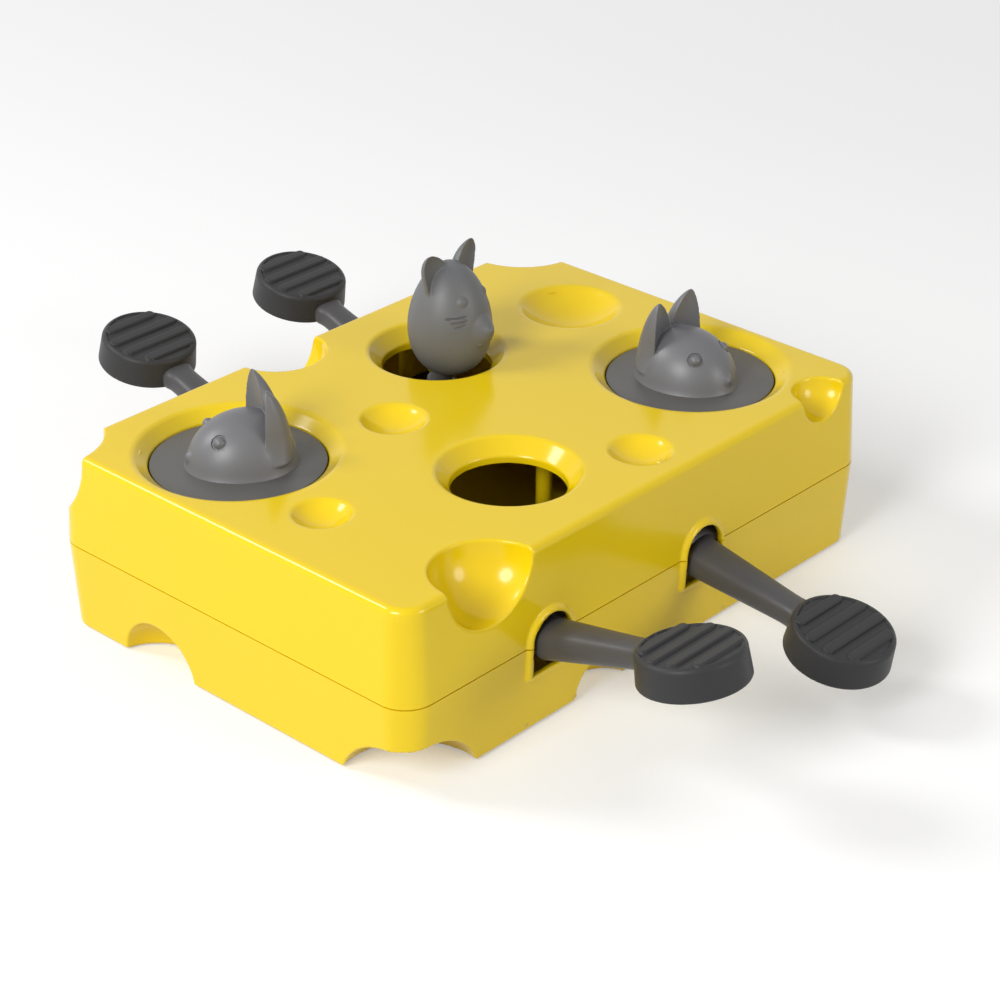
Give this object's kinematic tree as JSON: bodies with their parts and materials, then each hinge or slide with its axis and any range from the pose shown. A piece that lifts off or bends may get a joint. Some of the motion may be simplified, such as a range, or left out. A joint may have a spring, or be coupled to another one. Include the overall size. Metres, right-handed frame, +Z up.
{
  "type": "interactive cat toy box",
  "caption": "Rectangular cheese-shaped cat toy case with foot levers that raise toy mice out of round holes in its top.",
  "frame": {"origin": "centre of the case's flat underside", "axes": "+X along the long side of the case, +Y from front to rear along the levers, +Z up"},
  "size_m": [0.3, 0.417, 0.1374],
  "materials": {
    "case": "glossy moulded",
    "lever_plastic": "satin moulded",
    "mouse_plastic": "matte moulded",
    "disc_plastic": "matte moulded",
    "steel": "drawn, zinc plated",
    "pad_rubber": "matte"
  },
  "bodies": {
    "case": {"upper_case": "case", "lower_case": "case", "axle_front_left": "steel", "axle_front_right": "steel", "axle_rear_left": "steel", "axle_rear_right": "steel", "case_screws": "steel", "foot_pads": "pad_rubber"},
    "front_left": {"lever_front_left": "lever_plastic", "pedal_front_left": "lever_plastic", "post_left": "lever_plastic", "lever_screws_front_left": "steel"},
    "swivel_left": {"disc_left": "disc_plastic", "head_mouse_left": "mouse_plastic", "head_screws_left": "steel"},
    "front_right": {"lever_front_right": "lever_plastic", "pedal_front_right": "lever_plastic", "egg_mouse_rear": "mouse_plastic", "lever_screws_front_right": "steel"},
    "rear_left": {"lever_rear_left": "lever_plastic", "pedal_rear_left": "lever_plastic", "egg_mouse_front": "mouse_plastic", "lever_screws_rear_left": "steel"},
    "rear_right": {"lever_rear_right": "lever_plastic", "pedal_rear_right": "lever_plastic", "post_right": "lever_plastic", "lever_screws_rear_right": "steel"},
    "swivel_right": {"disc_right": "disc_plastic", "head_mouse_right": "mouse_plastic", "head_screws_right": "steel"}
  },
  "joints": [
    {"name": "press_front_left", "type": "hinge", "parent": "case", "child": "front_left", "pos_m": [-0.0625, -0.0975, 0.041], "axis": [1, 0, 0], "range_deg": [0, 23.7]},
    {"name": "press_front_right", "type": "hinge", "parent": "case", "child": "front_right", "pos_m": [0.037, -0.0975, 0.041], "axis": [1, 0, 0], "range_deg": [-23.7, 0]},
    {"name": "press_rear_left", "type": "hinge", "parent": "case", "child": "rear_left", "pos_m": [-0.037, 0.0975, 0.041], "axis": [-1, 0, 0], "range_deg": [0, 23.7]},
    {"name": "press_rear_right", "type": "hinge", "parent": "case", "child": "rear_right", "pos_m": [0.0625, 0.0975, 0.041], "axis": [-1, 0, 0], "range_deg": [0, 23.7]},
    {"name": "turn_left", "type": "hinge", "parent": "front_left", "child": "swivel_left", "pos_m": [-0.0973, 0.0445, 0.08], "axis": [0, 0, 1], "continuous": true},
    {"name": "turn_right", "type": "hinge", "parent": "rear_right", "child": "swivel_right", "pos_m": [0.0973, -0.0445, 0.08], "axis": [0, 0, 1], "continuous": true}
  ]
}
